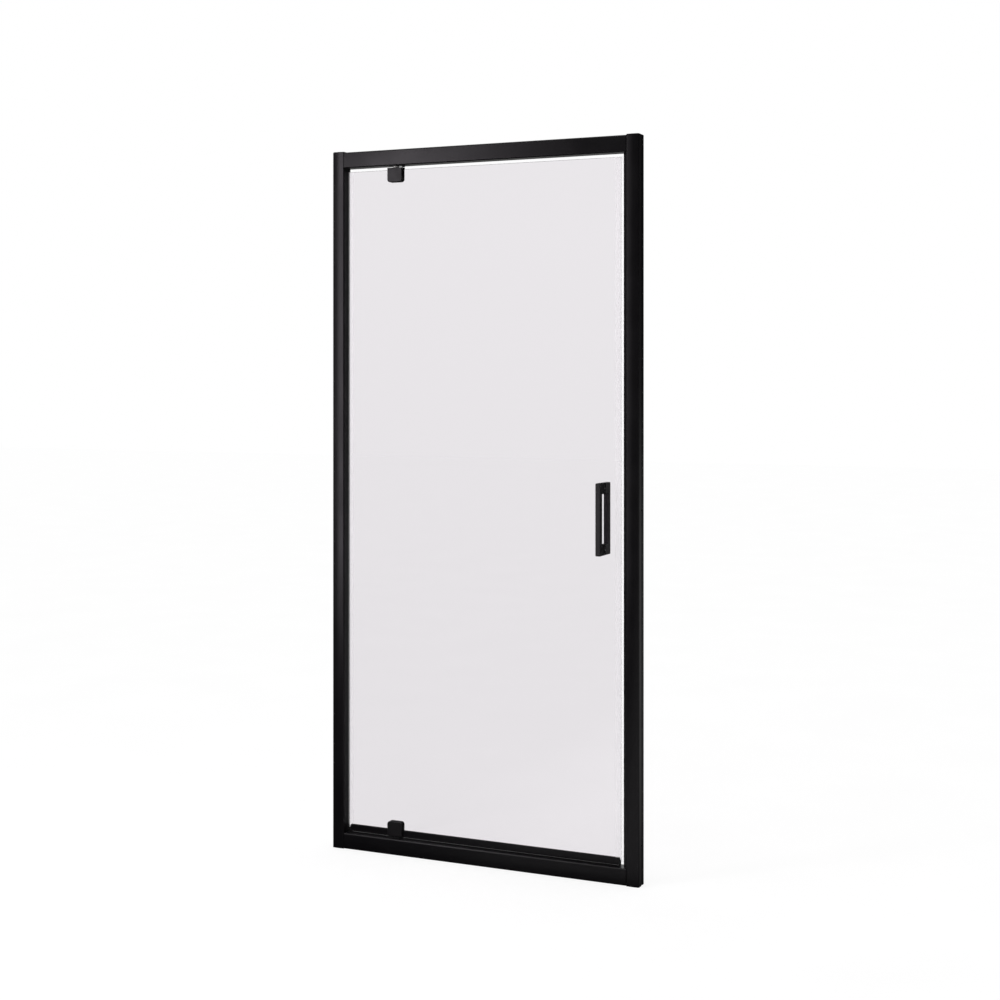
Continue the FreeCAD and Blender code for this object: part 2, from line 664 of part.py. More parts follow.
def make_clamp(end, level, glass_edge, upside_down):
    # glass_edge is the height of the glass's edge above the clamp's end
    def half(name, y=0):
        return new_piece(f"{name}_{end}", x="pivot_x", y=y, z=level, upside_down=upside_down)

    boss_top = f"({glass_edge} + notch_depth - notch_gap)"
    screw_spots = [(f"{side}clamp_screw_pitch / 2", "clamp_screw_level") for side in ("-", "")]
    front = half("clamp_front")
    clamp_plate(front, "-clamp_depth / 2", "-clamp_inner", "-clamp_depth / 2")
    boss = rectangle("-boss_width / 2", "0", "boss_width / 2", boss_top)
    pad(front, "boss", "XZ_Plane", "-clamp_inner", "boss_back", outlines=[boss])
    boss_corners = [("-boss_width / 2", boss_top), ("boss_width / 2", boss_top)]
    fillet(front, "boss_corners", "notch_corner - notch_gap", edges_along(front, 1, boss_corners))
    pocket(front, "bush_socket", "XY_Plane", "0", "bush_length", outlines=[centred("bush_size", "bush_size")])
    threads = [(*spot, "clamp_screw") for spot in screw_spots]
    pocket(front, "threads", "XZ_Plane", "clamp_screw_depth - clamp_depth / 2", "boss_back", circles=threads)

    back = half("clamp_back")
    clamp_plate(back, "clamp_inner", "clamp_depth / 2", "clamp_depth / 2")
    room_side = "(boss_width / 2 + boss_gap)"
    room = rectangle(f"-{room_side}", "0", room_side, f"{boss_top} + boss_gap")
    pocket(back, "boss_room", "XZ_Plane", "clamp_inner", "boss_back + boss_gap", outlines=[room])
    holes = [(*spot, "clamp_screw_hole") for spot in screw_spots]
    pocket(back, "screw_holes", "XZ_Plane", "clamp_inner", "clamp_depth / 2", circles=holes)

    screws = half("clamp_screws", y="clamp_depth / 2")
    shanks = [shank(*spot, "clamp_screw") for spot in screw_spots]
    heads = [(*spot, "clamp_screw_head") for spot in screw_spots]
    sockets = [hexagon(*spot, "clamp_screw_socket") for spot in screw_spots]
    pad(screws, "shanks", "XZ_Plane", "clamp_screw_depth - clamp_depth", "0", outlines=shanks)
    pad(screws, "heads", "XZ_Plane", "0", "clamp_screw_head_height", circles=heads)
    socket_floor = "clamp_screw_head_height - socket_depth"
    pocket(screws, "sockets", "XZ_Plane", socket_floor, "clamp_screw_head_height", outlines=sockets)

    gaskets = half("clamp_gaskets")
    side = "(clamp_width / 2 - gasket_inset)"
    top = "(clamp_height - gasket_inset)"
    sheet = [
        (f"-{side}", glass_edge),
        (side, glass_edge),
        (side, f"{top} - gasket_cut"),
        (f"{side} - gasket_cut", top),
        (f"gasket_cut - {side}", top),
        (f"-{side}", f"{top} - gasket_cut"),
    ]
    pad(gaskets, "sheets", "XZ_Plane", "-clamp_inner", "clamp_inner", outlines=[sheet])
    notch_side = "(boss_width / 2 + notch_gap)"
    notch = rectangle(f"-{notch_side}", glass_edge, notch_side, f"{boss_top} + notch_gap")
    pocket(gaskets, "notch", "XZ_Plane", "-clamp_inner", "clamp_inner", outlines=[notch])
    pocket(gaskets, "room_for_glass", "XZ_Plane", "-half_glass", "half_glass", outlines=[sheet])


# The glass, with a notch for each clamp and two holes for the handles.

def make_glass():
    body = new_piece("glass_panel", x="glass_left", z="glass_bottom")
    height = "(glass_top - glass_bottom)"
    pane = rectangle("0", "0", "glass_width", height)
    pad(body, "pane", "XZ_Plane", "-half_glass", "half_glass", outlines=[pane])
    arris_edges = edges_on(body, 1, "half_glass") + edges_on(body, 1, "-half_glass")
    chamfer(body, "arris", "glass_arris", arris_edges)
    left = "(pivot_x - glass_left - boss_width / 2 - notch_gap)"
    right = "(pivot_x - glass_left + boss_width / 2 + notch_gap)"
    low_notch = rectangle(left, "0", right, "notch_depth")
    high_notch = rectangle(left, f"{height} - notch_depth", right, height)
    pocket(body, "notches", "XZ_Plane", "-half_glass", "half_glass", outlines=[low_notch, high_notch])
    levels = ("notch_depth", f"{height} - notch_depth")
    corners = [(across, level) for across in (left, right) for level in levels]
    fillet(body, "notch_corners", "notch_corner", edges_along(body, 1, corners))
    spots = [("handle_x - glass_left", f"handle_level - glass_bottom {sign} stud_level") for sign in "-+"]
    holes = [(*spot, "handle_hole") for spot in spots]
    pocket(body, "handle_holes", "XZ_Plane", "-half_glass", "half_glass", circles=holes)


# Drip rails grip the glass's lower edge on each side of the clamp, and hold a wiper.
# toward is 1 for the long wing, which runs to +X from the clamp, and -1 for the short wing.

def make_drip_rail(wing, toward, length):
    start = f"pivot_x + ({toward}) * clamp_width / 2"
    body = new_piece(f"drip_rail_{wing}", x=start, z="drip_bottom")
    slot_top = "drip_lip + drip_slot_height"
    outer_half = [
        ("drip_slot / 2", "0"),
        ("drip_outer", "0"),
        ("drip_outer", "drip_height"),
        ("half_glass", "drip_height"),
        ("half_glass", "drip_floor"),
    ]
    slot_half = [
        ("drip_slot_inside / 2", slot_top),
        ("drip_slot_inside / 2", "drip_lip"),
        ("drip_slot / 2", "drip_lip"),
    ]
    section = outer_half + [(f"-({y})", z) for y, z in reversed(outer_half)]
    section += [(f"-({y})", z) for y, z in reversed(slot_half)] + slot_half
    pad(body, "section", "YZ_Plane", *span(toward, "0", length), outlines=[section])
    upper = [("drip_outer", "drip_height"), ("-drip_outer", "drip_height")]
    fillet(body, "upper_edges", "drip_radius", edges_along(body, 0, upper))

    wiper = new_piece(f"wiper_seal_{wing}", x=start, z="drip_bottom")
    tip = "wiper_gap - drip_lift"
    blade = [
        ("wiper_lean - wiper_tip / 2", tip),
        ("wiper_lean + wiper_tip / 2", tip),
        ("wiper_stem / 2", "0"),
        ("wiper_stem / 2", "drip_lip"),
        ("drip_slot_inside / 2", "drip_lip"),
        ("drip_slot_inside / 2", slot_top),
        ("-drip_slot_inside / 2", slot_top),
        ("-drip_slot_inside / 2", "drip_lip"),
        ("-wiper_stem / 2", "drip_lip"),
        ("-wiper_stem / 2", "0"),
    ]
    pad(wiper, "blade", "YZ_Plane", *span(toward, "wiper_start", length), outlines=[blade])

    piece = new_piece(f"drip_rail_end_{wing}", x=f"{start} + ({toward}) * ({length})", z="drip_bottom")
    near = f"{toward} * drip_end_top"
    far = f"{toward} * drip_end_thickness"
    profile = [
        ("0", tip),
        (far, tip),
        (far, "drip_height - drip_end_slope"),
        (near, "drip_height"),
        ("0", "drip_height"),
    ]
    pad(piece, "block", "XZ_Plane", "-drip_outer", "drip_outer", outlines=[profile])
    slot = rectangle("-half_glass", "drip_floor", "half_glass", "drip_height")
    pocket(piece, "room_for_glass", "YZ_Plane", *span(toward, "0", "drip_end_thickness"), outlines=[slot])


# Clear seals on the glass's upright edges. Their legs start above the drip rails.

def make_hinge_side_seal():
    body = new_piece("hinge_side_seal", x="glass_left", z="drip_top")
    section = [
        ("-seal_wall", "-seal_outer"),
        ("hinge_seal_leg", "-seal_outer"),
        ("hinge_seal_leg", "-half_glass"),
        ("0", "-half_glass"),
        ("0", "half_glass"),
        ("hinge_seal_leg", "half_glass"),
        ("hinge_seal_leg", "seal_outer"),
        ("-seal_wall", "seal_outer"),
        ("-seal_wall", "bulb_width / 2", "bulb_rise", "bulb_width"),
        ("-seal_wall", "-bulb_width / 2"),
    ]
    pad(body, "section", "XY_Plane", "0", "glass_top - drip_top", outlines=[section])


def make_lock_side_seal():
    body = new_piece("lock_side_seal", x="glass_right", z="glass_bottom")
    height = "glass_top - glass_bottom"
    section = [
        ("-lock_seal_leg", "-seal_outer"),
        ("lock_seal_reach", "-seal_outer"),
        ("lock_seal_reach", "seal_outer"),
        ("-lock_seal_leg", "seal_outer"),
        ("-lock_seal_leg", "half_glass"),
        ("0", "half_glass"),
        ("0", "-half_glass"),
        ("-lock_seal_leg", "-half_glass"),
    ]
    pad(body, "section", "XY_Plane", "0", height, outlines=[section])
    chamber = rectangle("seal_wall", "-magnet_width / 2", "lock_seal_reach - seal_wall", "magnet_width / 2")
    pocket(body, "chamber", "XY_Plane", "0", height, outlines=[chamber])
    legs = rectangle("-lock_seal_leg", "-seal_outer", "0", "seal_outer")
    pocket(body, "cut_over_drip_rail", "XY_Plane", "0", "drip_height - drip_floor", outlines=[legs])
    magnet = new_piece("leaf_magnet", x="glass_right", z="glass_bottom")
    pad(magnet, "strip", "XY_Plane", "0", height, outlines=[chamber])


# The strike on the lock-side post: a profile with four legs, the middle two round the magnet.

def make_strike():
    body = new_piece("strike_profile", x="post_face", z="rail_height")
    height = "rail_underside - rail_height"
    front = "(strike_setback - glass_setback)"
    magnet_side = "strike_magnet_width / 2"
    grip_side = "(strike_magnet_width / 2 + strike_wall)"
    grip_end = "-strike_wall - strike_grip"
    section = [
        ("0", front),
        ("0", "frame_back"),
        ("-strike_reach", "frame_back"),
        ("-strike_reach", "frame_back - strike_wall"),
        ("-strike_wall", "frame_back - strike_wall"),
        ("-strike_wall", grip_side),
        (grip_end, grip_side),
        (grip_end, magnet_side),
        ("-strike_wall", magnet_side),
        ("-strike_wall", f"-{magnet_side}"),
        (grip_end, f"-{magnet_side}"),
        (grip_end, f"-{grip_side}"),
        ("-strike_wall", f"-{grip_side}"),
        ("-strike_wall", f"{front} + strike_wall"),
        ("-strike_reach", f"{front} + strike_wall"),
        ("-strike_reach", front),
    ]
    pad(body, "section", "XY_Plane", "0", height, outlines=[section])
    magnet = new_piece("strike_magnet", x="post_face", z="rail_height")
    magnet_end = "lock_seal_reach + closing_gap - lock_gap"
    strip = rectangle(magnet_end, f"-{magnet_side}", "-strike_wall", magnet_side)
    pad(magnet, "strip", "XY_Plane", "0", height, outlines=[strip])


# Two loop handles, back to back through the glass. outward is -1 in front and 1 behind.

def stud_spots():
    return [("0", f"{sign}stud_level") for sign in ("-", "")]


def make_handle(place, outward):
    body = new_piece(f"handle_{place}", x="handle_x", z="handle_level")
    foot = f"{outward} * handle_foot"
    face = f"{outward} * handle_face"
    grip = f"{outward} * (handle_face - handle_bar)"
    opening = "(handle_height / 2 - handle_leg)"
    profile = [
        (face, "-handle_height / 2"),
        (foot, "-handle_height / 2"),
        (foot, f"-{opening}"),
        (grip, f"-{opening}"),
        (grip, opening),
        (foot, opening),
        (foot, "handle_height / 2"),
        (face, "handle_height / 2"),
    ]
    pad(body, "loop", "YZ_Plane", "-handle_width / 2", "handle_width / 2", outlines=[profile])
    outer = [(face, "-handle_height / 2"), (face, "handle_height / 2")]
    fillet(body, "outer_corners", "handle_corner", edges_along(body, 0, outer))
    sides = edges_on(body, 0, "-handle_width / 2") + edges_on(body, 0, "handle_width / 2")
    chamfer(body, "long_edges", "handle_bevel", sides)
    bores = [(*spot, "stud_diameter") for spot in stud_spots()]
    pocket(body, "stud_bores", "XZ_Plane", *span(outward, "handle_foot", "stud_end"), circles=bores)
    return body


def make_handle_fixings():
    studs = new_piece("handle_studs", x="handle_x", z="handle_level")
    rods = [(*spot, "stud_diameter") for spot in stud_spots()]
    pad(studs, "rods", "XZ_Plane", "-stud_end", "stud_end", circles=rods)
    pads = new_piece("handle_pads", x="handle_x", z="handle_level")
    side = "(handle_width / 2 - handle_bevel)"
    rise = "(handle_leg / 2 - handle_bevel)"
    outlines = [
        rectangle(f"-{side}", f"{level} - {rise}", side, f"{level} + {rise}")
        for across, level in stud_spots()
    ]
    for name, outward in (("front", -1), ("back", 1)):
        thickness = span(outward, "half_glass", "handle_foot")
        pad(pads, name, "XZ_Plane", *thickness, outlines=outlines)
    pocket(pads, "bores", "XZ_Plane", "-handle_foot", "handle_foot", circles=rods)


def make_back_handle():
    # grub screws come up through each leg of the back handle to its stud
    body = make_handle("back", 1)
    screws = new_piece("handle_grub_screws", x="handle_x", z="handle_level")
    spot = ("0", "handle_foot + stud_depth / 2")
    for name, under in (("lower", "-handle_height / 2"), ("upper", "handle_height / 2 - handle_leg")):
        stud = f"{under} + handle_leg / 2"
        pocket(body, f"{name}_grub_hole", "XY_Plane", under, stud, circles=[(*spot, "grub_screw")])
        reach = (f"{under} + grub_recess", f"{stud} - stud_diameter / 2")
        pad(screws, f"{name}_screw", "XY_Plane", *reach, outlines=[shank(*spot, "grub_screw")])


for hand, into in (("left", 1), ("right", -1)):
    make_wall_channel(hand, into)
    make_post(hand, into)
    make_fixing_screws(hand, into)
    make_post_cap(hand, into)
make_rails()
make_corner_screws("corner_screws_bottom", "0")
make_corner_screws("corner_screws_top", "rail_underside")
make_pivot_seat()
make_pivot_block()
make_strike()

make_pin("bottom", "rail_height", "low_clamp_gap", False)
make_pin("top", "rail_underside", "high_clamp_gap", True)
make_bush("bottom", "rail_height + low_clamp_gap", "low_flange_height", False)
make_bush("top", "rail_underside - high_clamp_gap", "high_flange_height", True)
low_glass_edge = "(glass_bottom - rail_height - low_clamp_gap)"
high_glass_edge = "(glass_top_gap - high_clamp_gap)"
make_clamp("bottom", "rail_height + low_clamp_gap", low_glass_edge, False)
make_clamp("top", "rail_underside - high_clamp_gap", high_glass_edge, True)

make_glass()
drip_ends = "drip_end_inset + drip_end_thickness + clamp_width / 2"
make_drip_rail("long", 1, f"glass_right - pivot_x - ({drip_ends})")
make_drip_rail("short", -1, f"pivot_x - glass_left - ({drip_ends})")
make_hinge_side_seal()
make_lock_side_seal()
make_handle("front", -1)
make_back_handle()
make_handle_fixings()

doc.recompute()
for item in doc.Objects:
    if "Invalid" in item.State or "Error" in item.State:
        raise RuntimeError(f"{item.Label} failed: {item.State}")
for piece in pieces:
    if piece.Shape.isNull() or not piece.Shape.isValid():
        raise RuntimeError(f"{piece.Label} has no valid shape")

os.makedirs("parts", exist_ok=True)
for piece in pieces:
    piece.Shape.exportStep(f"parts/{piece.Label}.step")
print(len(pieces), "pieces written")
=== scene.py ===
import bpy
import json
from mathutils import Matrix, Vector
from math import radians

# Framed pivot shower door. X runs along the frame, +Y into the shower, Z up, in metres.

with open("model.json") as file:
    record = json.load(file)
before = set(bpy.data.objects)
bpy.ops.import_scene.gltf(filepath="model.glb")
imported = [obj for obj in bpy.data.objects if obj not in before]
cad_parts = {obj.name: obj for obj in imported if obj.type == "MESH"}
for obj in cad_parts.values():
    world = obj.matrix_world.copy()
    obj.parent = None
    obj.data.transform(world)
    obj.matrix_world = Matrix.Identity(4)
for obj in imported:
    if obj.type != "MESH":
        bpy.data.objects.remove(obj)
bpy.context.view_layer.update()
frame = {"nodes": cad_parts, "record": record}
nodes = frame["nodes"]
mm = 0.001
print("frame loaded:", len(nodes), "nodes")


# camera: seen from the right, level with the upper part of the glass
camera = {
    "place": (1.8546, -4.0006, 1.2859),
    "turn": 24.33,                  # degrees to the left
    "lens": 60.17,
    "sensor": 36.0,
    "shift": (0.0006, -0.1233),     # keeps the uprights upright
    "clip": (0.05, 60.0),
}

cameraData = bpy.data.cameras.new("camera")
cameraData.lens = camera["lens"]
cameraData.sensor_width = camera["sensor"]
cameraData.shift_x, cameraData.shift_y = camera["shift"]
cameraData.clip_start, cameraData.clip_end = camera["clip"]
cameraObject = bpy.data.objects.new("camera", cameraData)
cameraObject.location = camera["place"]
cameraObject.rotation_euler = (radians(90), 0, radians(camera["turn"]))
bpy.context.scene.collection.objects.link(cameraObject)
bpy.context.scene.camera = cameraObject
print("camera set")


white = (1, 1, 1, 1)


def linear(hexColour):
    # sRGB hex to the linear colour that the shaders take
    channels = [int(hexColour[i:i + 2], 16) / 255 for i in (1, 3, 5)]
    return [c / 12.92 if c <= 0.04045 else ((c + 0.055) / 1.055) ** 2.4 for c in channels] + [1]


def addNode(tree, kind, settings=None, links=None):
    # settings: an input's name or number, an attribute of the node, or a colour ramp's two stops
    # links: input -> output socket
    node = tree.nodes.new(kind)
    for name, setting in (settings or {}).items():
        if name == "stops":
            for element, (place, value) in zip(node.color_ramp.elements, setting):
                element.position = place
                element.color = linear(value) if isinstance(value, str) else (value, value, value, 1)
        elif isinstance(name, int) or name in node.inputs:
            node.inputs[name].default_value = setting
        else:
            setattr(node, name, setting)
    for name, socket in (links or {}).items():
        tree.links.new(socket, node.inputs[name])
    return node


def newMaterial(name):
    material = bpy.data.materials.new(name)
    material.use_nodes = True
    tree = material.node_tree
    tree.nodes.clear()
    output = addNode(tree, "ShaderNodeOutputMaterial")
    position = addNode(tree, "ShaderNodeTexCoord").outputs["Object"]
    return material, tree, output, position


# powder-coated aluminium: satin black, with a faint orange peel and slightly uneven gloss
powderCoat = {
    "colours": [(0.4, "#070508"), (0.8, "#0b090c")],
    "roughness": [(0.35, 0.29), (0.7, 0.36)],
    "ior": 1.5,
    "specular": 0.3,
    "peel": 1.1 * mm,
    "peelDepth": 0.1 * mm,
    "bump": 0.05,
    "cloud": 111 * mm,
}


def makePowderCoat():
    material, tree, output, position = newMaterial("powderCoatedAluminium")
    peel = addNode(
        tree, "ShaderNodeTexNoise", {"Scale": 1 / powderCoat["peel"], "Detail": 2.0},
        {"Vector": position},
    )
    cloud = addNode(
        tree, "ShaderNodeTexNoise", {"Scale": 1 / powderCoat["cloud"], "Detail": 4.0},
        {"Vector": position},
    )
    roughness = addNode(
        tree, "ShaderNodeValToRGB", {"stops": powderCoat["roughness"]}, {"Fac": cloud.outputs["Fac"]},
    )
    colour = addNode(
        tree, "ShaderNodeValToRGB", {"stops": powderCoat["colours"]}, {"Fac": cloud.outputs["Fac"]},
    )
    bump = addNode(
        tree, "ShaderNodeBump", {"Strength": powderCoat["bump"], "Distance": powderCoat["peelDepth"]},
        {"Height": peel.outputs["Fac"]},
    )
    shader = addNode(
        tree, "ShaderNodeBsdfPrincipled",
        {"IOR": powderCoat["ior"], "Specular IOR Level": powderCoat["specular"]},
        {
            "Base Color": colour.outputs["Color"], "Roughness": roughness.outputs["Color"],
            "Normal": bump.outputs["Normal"],
        },
    )
    tree.links.new(shader.outputs["BSDF"], output.inputs["Surface"])
    return material


# die-cast zinc with a black electrophoretic coat: duller than the frame, so lamps spread wider on it
dieCast = {
    "colour": "#0a080b",
    "roughness": [(0.35, 0.42), (0.7, 0.5)],
    "ior": 1.5,
    "specular": 0.5,
    "grain": 0.6 * mm,
    "grainDepth": 0.05 * mm,
    "bump": 0.04,
    "cloud": 25 * mm,
}


def makeDieCast():
    material, tree, output, position = newMaterial("blackDieCastZinc")
    grain = addNode(
        tree, "ShaderNodeTexNoise", {"Scale": 1 / dieCast["grain"], "Detail": 3.0},
        {"Vector": position},
    )
    cloud = addNode(
        tree, "ShaderNodeTexNoise", {"Scale": 1 / dieCast["cloud"], "Detail": 3.0},
        {"Vector": position},
    )
    roughness = addNode(
        tree, "ShaderNodeValToRGB", {"stops": dieCast["roughness"]}, {"Fac": cloud.outputs["Fac"]},
    )
    bump = addNode(
        tree, "ShaderNodeBump", {"Strength": dieCast["bump"], "Distance": dieCast["grainDepth"]},
        {"Height": grain.outputs["Fac"]},
    )
    shader = addNode(
        tree, "ShaderNodeBsdfPrincipled",
        {
            "Base Color": linear(dieCast["colour"]), "IOR": dieCast["ior"],
            "Specular IOR Level": dieCast["specular"],
        },
        {"Roughness": roughness.outputs["Color"], "Normal": bump.outputs["Normal"]},
    )
    tree.links.new(shader.outputs["BSDF"], output.inputs["Surface"])
    return material


# moulded black nylon: matt, with the fine pits of a spark-eroded mould, and painted shade a touch darker
# in the pits
mouldedNylon = {
    "colours": [(0.0, "#0f0f10"), (0.8, "#121213")],
    "roughness": 0.55,
    "ior": 1.53,
    "specular": 0.35,
    "pits": 0.5 * mm,
    "pitDepth": 0.04 * mm,
    "bump": 0.15,
}


def makeMouldedNylon():
    material, tree, output, position = newMaterial("mouldedBlackNylon")
    pits = addNode(
        tree, "ShaderNodeTexVoronoi", {"Scale": 1 / mouldedNylon["pits"]}, {"Vector": position},
    )
    bump = addNode(
        tree, "ShaderNodeBump",
        {"Strength": mouldedNylon["bump"], "Distance": mouldedNylon["pitDepth"]},
        {"Height": pits.outputs["Distance"]},
    )
    # painted shade: the colour darkens where the bump makes the pits deepest
    colour = addNode(
        tree, "ShaderNodeValToRGB", {"stops": mouldedNylon["colours"]},
        {"Fac": pits.outputs["Distance"]},
    )
    shader = addNode(
        tree, "ShaderNodeBsdfPrincipled",
        {
            "Roughness": mouldedNylon["roughness"], "IOR": mouldedNylon["ior"],
            "Specular IOR Level": mouldedNylon["specular"],
        },
        {"Base Color": colour.outputs["Color"], "Normal": bump.outputs["Normal"]},
    )
    tree.links.new(shader.outputs["BSDF"], output.inputs["Surface"])
    return material


# turned stainless steel: fine marks of the tool make its gloss uneven
turnedSteel = {"colour": "#9a999b", "roughness": [(0.3, 0.26), (0.7, 0.4)], "marks": 0.3 * mm}


def makeTurnedSteel():
    material, tree, output, position = newMaterial("turnedStainlessSteel")
    marks = addNode(
        tree, "ShaderNodeTexNoise", {"Scale": 1 / turnedSteel["marks"], "Detail": 2.0},
        {"Vector": position},
    )
    roughness = addNode(
        tree, "ShaderNodeValToRGB", {"stops": turnedSteel["roughness"]}, {"Fac": marks.outputs["Fac"]},
    )
    shader = addNode(
        tree, "ShaderNodeBsdfPrincipled", {"Base Color": linear(turnedSteel["colour"]), "Metallic": 1.0},
        {"Roughness": roughness.outputs["Color"]},
    )
    tree.links.new(shader.outputs["BSDF"], output.inputs["Surface"])
    return material


# machined white acetal: smooth and waxy, faintly clouded
whiteAcetal = {
    "colours": [(0.3, "#deded9"), (0.7, "#e6e6e2")],
    "roughness": 0.35,
    "ior": 1.48,
    "cloud": 4 * mm,
}


def makeWhiteAcetal():
    material, tree, output, position = newMaterial("machinedWhiteAcetal")
    cloud = addNode(
        tree, "ShaderNodeTexNoise", {"Scale": 1 / whiteAcetal["cloud"], "Detail": 2.0},
        {"Vector": position},
    )
    colour = addNode(
        tree, "ShaderNodeValToRGB", {"stops": whiteAcetal["colours"]}, {"Fac": cloud.outputs["Fac"]},
    )
    shader = addNode(
        tree, "ShaderNodeBsdfPrincipled",
        {"Roughness": whiteAcetal["roughness"], "IOR": whiteAcetal["ior"]},
        {"Base Color": colour.outputs["Color"]},
    )
    tree.links.new(shader.outputs["BSDF"], output.inputs["Surface"])
    return material


# extruded clear vinyl: see-through strips with a painted glow, so they look a little paler
# than the pane; drawn lines run along them
clearVinyl = {
    "colours": [(0.35, "#eeedef"), (0.65, "#fbfbfc")],
    "roughness": 0.22,
    "ior": 1.5,
    "opacity": 0.1,
    # painted light: the strips give off a little white light of their own
    "glow": 0.34,
    "line": 1.5 * mm,     # real lines are finer and wouldn't show
    "length": 300 * mm,
}


def makeClearVinyl():
    material, tree, output, position = newMaterial("extrudedClearVinyl")
    across, along = 1 / clearVinyl["line"], 1 / clearVinyl["length"]
    stretched = addNode(
        tree, "ShaderNodeVectorMath", {"operation": "MULTIPLY", 1: (across, across, along)}, {0: position},
    )
    lines = addNode(
        tree, "ShaderNodeTexNoise", {"Scale": 1.0, "Detail": 2.0},
        {"Vector": stretched.outputs["Vector"]},
    )
    colour = addNode(
        tree, "ShaderNodeValToRGB", {"stops": clearVinyl["colours"]}, {"Fac": lines.outputs["Fac"]},
    )
    shader = addNode(
        tree, "ShaderNodeBsdfPrincipled",
        {
            "Roughness": clearVinyl["roughness"], "IOR": clearVinyl["ior"],
            "Alpha": clearVinyl["opacity"], "Emission Color": white,
            "Emission Strength": clearVinyl["glow"],
        },
        {"Base Color": colour.outputs["Color"]},
    )
    tree.links.new(shader.outputs["BSDF"], output.inputs["Surface"])
    return material


# white magnet strip: a flat co-extruded vinyl, nearly matt, with a painted glow that makes it whiter than
# its light would
magnetStrip = {
    "colours": [(0.3, "#f3f3f2"), (0.7, "#f9f9f9")],
    "roughness": 0.4,
    "ior": 1.5,
    # painted light: the strip gives off a little white light of its own
    "glow": 0.4,
    "cloud": 17 * mm,
}


def makeMagnetStrip():
    material, tree, output, position = newMaterial("whiteMagneticStrip")
    cloud = addNode(
        tree, "ShaderNodeTexNoise", {"Scale": 1 / magnetStrip["cloud"], "Detail": 3.0},
        {"Vector": position},
    )
    colour = addNode(
        tree, "ShaderNodeValToRGB", {"stops": magnetStrip["colours"]}, {"Fac": cloud.outputs["Fac"]},
    )
    shader = addNode(
        tree, "ShaderNodeBsdfPrincipled",
        {
            "Roughness": magnetStrip["roughness"], "IOR": magnetStrip["ior"],
            "Emission Color": white, "Emission Strength": magnetStrip["glow"],
        },
        {"Base Color": colour.outputs["Color"]},
    )
    tree.links.new(shader.outputs["BSDF"], output.inputs["Surface"])
    return material


# extruded black rubber: dull, a little dusty
blackRubber = {
    "colours": [(0.4, "#131314"), (0.75, "#1c1c1d")],
    "roughness": 0.75,
    "ior": 1.52,
    "dust": 8 * mm,
}


def makeBlackRubber():
    material, tree, output, position = newMaterial("extrudedBlackRubber")
    dust = addNode(
        tree, "ShaderNodeTexNoise", {"Scale": 1 / blackRubber["dust"], "Detail": 4.0},
        {"Vector": position},
    )
    colour = addNode(
        tree, "ShaderNodeValToRGB", {"stops": blackRubber["colours"]}, {"Fac": dust.outputs["Fac"]},
    )
    shader = addNode(
        tree, "ShaderNodeBsdfPrincipled",
        {"Roughness": blackRubber["roughness"], "IOR": blackRubber["ior"]},
        {"Base Color": colour.outputs["Color"]},
    )
    tree.links.new(shader.outputs["BSDF"], output.inputs["Surface"])
    return material


# toughened float glass, 6 mm: clear, with a faint lilac grey cast, and painted shade that darkens it
# towards the floor
floatGlass = {"colours": [(0.0, "#ece9ec"), (0.9, "#f2eff2")], "ior": 1.5}


def makeFloatGlass():
    material, tree, output, position = newMaterial("toughenedFloatGlass")
    upwards = addNode(tree, "ShaderNodeTexCoord").outputs["Generated"]
    height = addNode(tree, "ShaderNodeSeparateXYZ", None, {0: upwards})
    # painted shade: the pane's colour darkens towards the floor
    colour = addNode(
        tree, "ShaderNodeValToRGB", {"stops": floatGlass["colours"]}, {"Fac": height.outputs["Z"]},
    )
    glass = addNode(
        tree, "ShaderNodeBsdfPrincipled",
        {"Roughness": 0.0, "IOR": floatGlass["ior"], "Transmission Weight": 1.0},
        {"Base Color": colour.outputs["Color"]},
    )
    # lamps pass straight through, so that the pane's shadow is light
    clear = addNode(tree, "ShaderNodeBsdfTransparent", None, {"Color": colour.outputs["Color"]})
    path = addNode(tree, "ShaderNodeLightPath")
    mix = addNode(
        tree, "ShaderNodeMixShader", None,
        {0: path.outputs["Is Shadow Ray"], 1: glass.outputs["BSDF"], 2: clear.outputs["BSDF"]},
    )
    tree.links.new(mix.outputs["Shader"], output.inputs["Surface"])
    return material


print("making materials")
finishes = {
    "frame_black": makePowderCoat(),
    "hardware_black": makeDieCast(),
    "black_plastic": makeMouldedNylon(),
    "stainless_steel": makeTurnedSteel(),
    "white_nylon": makeWhiteAcetal(),
    "clear_vinyl": makeClearVinyl(),
    "white_magnet": makeMagnetStrip(),
    "black_rubber": makeBlackRubber(),
    "clear_glass": makeFloatGlass(),
}

for part in frame["record"]["subparts"]:
    node = nodes[part["node"]]
    node.data.materials.clear()
    node.data.materials.append(finishes[part["material_slot"]])

# the thin washers under the handles look dark in the photo
nodes["handle_pads"].data.materials[0] = finishes["black_rubber"]


# clear strips lie against the glass, so they are drawn in by a hair
drawnIn = {"nodes": ["hinge_side_seal", "lock_side_seal"], "depth": 0.03 * mm}

print("drawing in clear strips")
for name in drawnIn["nodes"]:
    shrink = nodes[name].modifiers.new("drawnIn", "DISPLACE")
    shrink.strength = -drawnIn["depth"]
    shrink.mid_level = 0


def glossPath(tree):
    # 1 for every ray that has met a gloss, also where it goes on through the pane
    path = addNode(tree, "ShaderNodeLightPath")
    met = addNode(
        tree, "ShaderNodeMath", {"operation": "MINIMUM", 1: 1.0}, {0: path.outputs["Glossy Depth"]},
    )
    return met.outputs["Value"]


